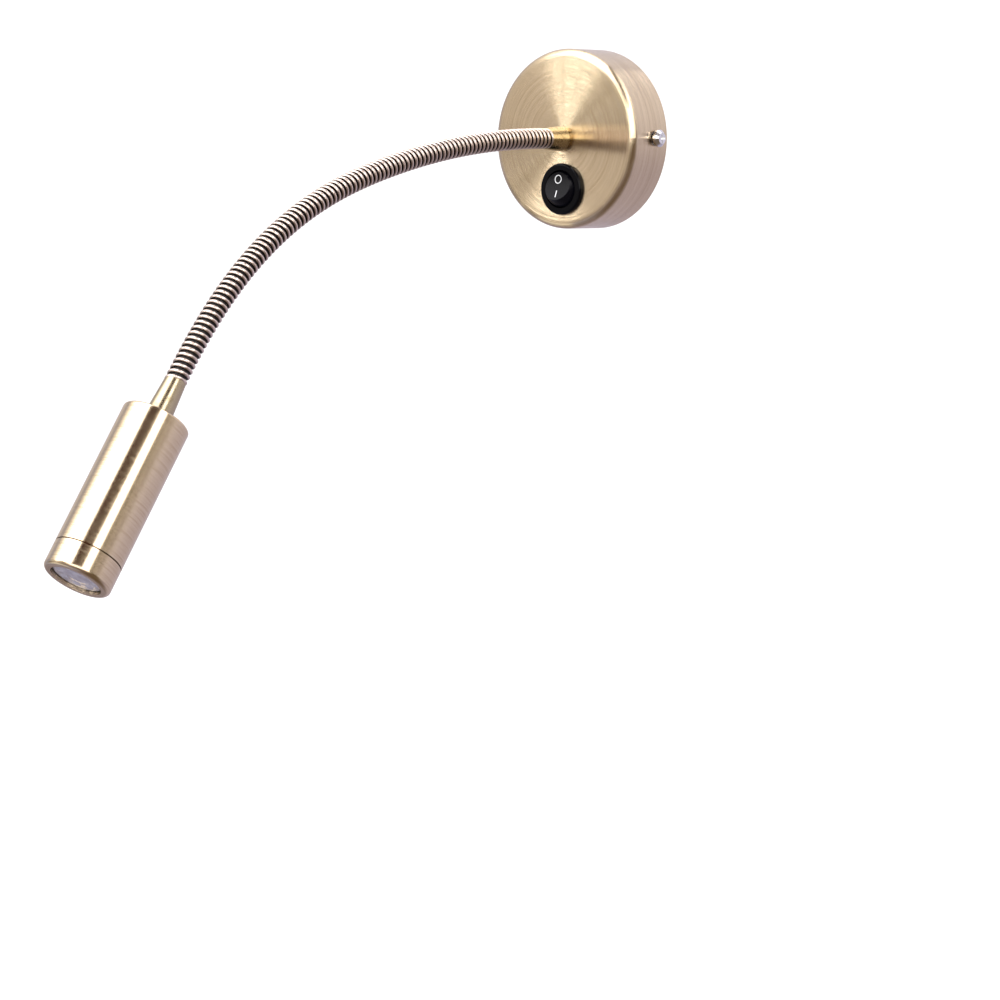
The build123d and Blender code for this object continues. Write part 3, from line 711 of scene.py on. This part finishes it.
room = {  # what the metal mirrors: tones by height, and patches by angle, with their edges' softness last
    "low": (0.24, 0.20, 0.22),
    "middle": (0.66, 0.60, 0.56),
    "high": (0.90, 0.85, 0.82),
    "lowToMiddle": (-0.6, 0.0),
    "middleToHigh": (0.0, 0.6),
    "wallLow": (0.50, 0.45, 0.56),
    "wallHigh": (0.86, 0.82, 0.92),
    "wallRise": (-0.5, 0.5),
    "wallFrom": (0.2, 0.6),
    "forwardTo": (-0.1, 0.4),
    "box": (4.2, 4.1, 4.2),
    "boxFrom": (0.42, 0.50),  # the head mirrors what lies above, the canopy what lies below
    "leftBoxStart": (-112.0, -62.0),  # degrees round the head's axis
    "leftBoxEnd": (-32.0, -22.0),
    "rightBoxAngles": (6.0, 29.0, 2.0),
    "rightBoxFrom": (0.16, 0.26),
    "gap": (0.08, 0.042, 0.028),
    "gapAngles": (-32.0, 6.0, 4.0),
    "shade": (0.17, 0.125, 0.09),
    "shadeAngles": (29.0, 150.0, 3.0),
    "edge": (0.40, 0.40, 0.52),
    "edgeAngles": (-170.0, -112.0, 3.0),
    "roomShadeAngles": (-72.0, 20.0, 6.0),  # degrees round the room
    "shadeTop": (0.1, 0.2),
    "shadeFoot": (-0.45, -0.3),
    "fan": (3.4, 3.3, 3.2),
    "fanLow": (0.95, 0.90, 0.82),
    "fanSplit": (-0.05, 0.05),
    "fanDark": (0.16, 0.14, 0.09),
    "fanRay": (0.9, 0.85, 0.75),
    "fanAngles": (63.0, 99.0, 3.0),  # degrees round the canopy's axis
    "fanDarkAngles": (12.0, 63.0, 2.0),
    "fanRayAngles": (38.0, 46.0, 2.0),
    "fanTilt": (0.10, 0.20),
    "fanAhead": (-0.3, -0.1),
    "filletAngles": (5.0, 99.0, 4.0),
    "filletTilt": (0.36, 0.44),
}


def mirroredRoom(start):
    def laid(tone, share, colour):
        return share.mix(tone, colour if isinstance(colour, Wire) else rgba(room[colour]))

    direction = start.node("TexCoord", {}, {}, "Generated")
    across, ahead, up = direction.parts()
    tone = up.between(*room["lowToMiddle"]).mix(rgba(room["low"]), rgba(room["middle"]))
    tone = laid(tone, up.between(*room["middleToHigh"]), "high")
    behind = ahead.between(*room["wallFrom"])
    wall = up.between(*room["wallRise"]).mix(rgba(room["wallLow"]), rgba(room["wallHigh"]))
    tone = laid(tone, behind, wall)

    facing = (viewBack - headAxis * viewBack.dot(headAxis)).normalized()  # patches for the head
    sideways = facing.cross(headAxis)
    roundHead = direction.dot(sideways).turnFrom(direction.dot(facing))
    roundRoom = ahead.turnFrom(across)
    upper = up.between(*room["boxFrom"])
    forward = 1 - ahead.between(*room["forwardTo"])
    tone = laid(tone, forward * (1 - behind) * roundHead.band(*room["shadeAngles"]), "shade")
    shadeHeight = (1 - up.between(*room["shadeTop"])) * up.between(*room["shadeFoot"])
    tone = laid(tone, roundRoom.band(*room["roomShadeAngles"]) * shadeHeight, "shade")
    tone = laid(tone, forward * roundHead.band(*room["edgeAngles"]), "edge")
    leftBox = roundHead.between(*room["leftBoxStart"]) * (1 - roundHead.between(*room["leftBoxEnd"]))
    tone = laid(tone, upper * forward * leftBox, "box")
    tone = laid(tone, up.between(*room["rightBoxFrom"]) * roundHead.band(*room["rightBoxAngles"]), "box")
    tone = laid(tone, upper * roundHead.band(*room["gapAngles"]), "gap")

    half = direction.plus(viewBack).unit()  # patches for the canopy's brushing
    halfAcross, _, halfUp = half.parts()
    fold = halfUp.math("SIGN", halfUp)  # a brush line mirrors the same light above and below the middle
    roundFace = (halfUp * fold).turnFrom(halfAcross * fold)
    tilt = start.node("CombineXYZ", {}, {"X": halfAcross, "Y": halfUp}).length()
    lower = tilt.between(*room["fanTilt"]) * (1 - upper) * (1 - ahead.between(*room["fanAhead"]))
    tone = laid(tone, lower * roundFace.band(*room["fanDarkAngles"]), "fanDark")
    tone = laid(tone, lower * roundFace.band(*room["fanRayAngles"]), "fanRay")
    fan = halfUp.between(*room["fanSplit"]).mix(rgba(room["fanLow"]), rgba(room["fan"]))
    tone = laid(tone, lower * roundFace.band(*room["fanAngles"]), fan)
    fillet = tilt.between(*room["filletTilt"]) * roundFace.band(*room["filletAngles"])
    return laid(tone, fillet * lower, fan)


world = bpy.data.worlds.new("studioWorld")
world.use_nodes = True
bpy.context.scene.world = world
start = Wire(world.node_tree)
seen = start.node("LightPath", {}, {}, "Is Camera Ray")
shown = seen.mix(mirroredRoom(start), rgba((1, 1, 1)))
setShader(world.node_tree.nodes["Background"], {"Color": shown})

softboxes = {
    "leftBox": {
        "azimuth": -107, "elevation": 32, "distance": 1.6, "width": 1.9, "height": 0.75, "glow": 2.0,
    },
    "rightBox": {
        "azimuth": -27, "elevation": 18, "distance": 1.6, "width": 0.62, "height": 1.2, "glow": 2.0,
    },
}
lampMiddle = Vector((0, -0.12, -0.04))


def softbox(name, box):
    turn, lift = math.radians(box["azimuth"]), math.radians(box["elevation"])
    away = Vector((math.cos(turn) * math.cos(lift), math.sin(turn) * math.cos(lift), math.sin(lift)))
    light = bpy.data.lights.new(name, "AREA")
    light.shape = "RECTANGLE"
    light.size, light.size_y = box["width"], box["height"]
    light.energy = box["glow"] * math.pi * box["width"] * box["height"]
    lamp = bpy.data.objects.new(name, light)
    aimed = away.to_track_quat("Z", "Y").to_matrix().to_4x4()
    lamp.matrix_world = Matrix.Translation(lampMiddle + away * box["distance"]) @ aimed
    lamp.visible_camera = False
    lamp.visible_glossy = False
    bpy.context.scene.collection.objects.link(lamp)


for name, box in softboxes.items():
    softbox(name, box)

camera = bpy.data.objects.new("camera", bpy.data.cameras.new("camera"))
camera.data.sensor_width = view["sensor"]
camera.data.lens = view["sensor"] * view["focal"] / view["frame"]
camera.matrix_world = (
    Matrix.Translation(viewBack * view["back"] + viewRight * view["right"] + viewUp * view["up"])
    @ Matrix((viewRight, viewUp, viewBack)).transposed().to_4x4()
)
bpy.context.scene.collection.objects.link(camera)
bpy.context.scene.camera = camera
bpy.context.scene.view_settings.view_transform = "Standard"
print("studio lit")
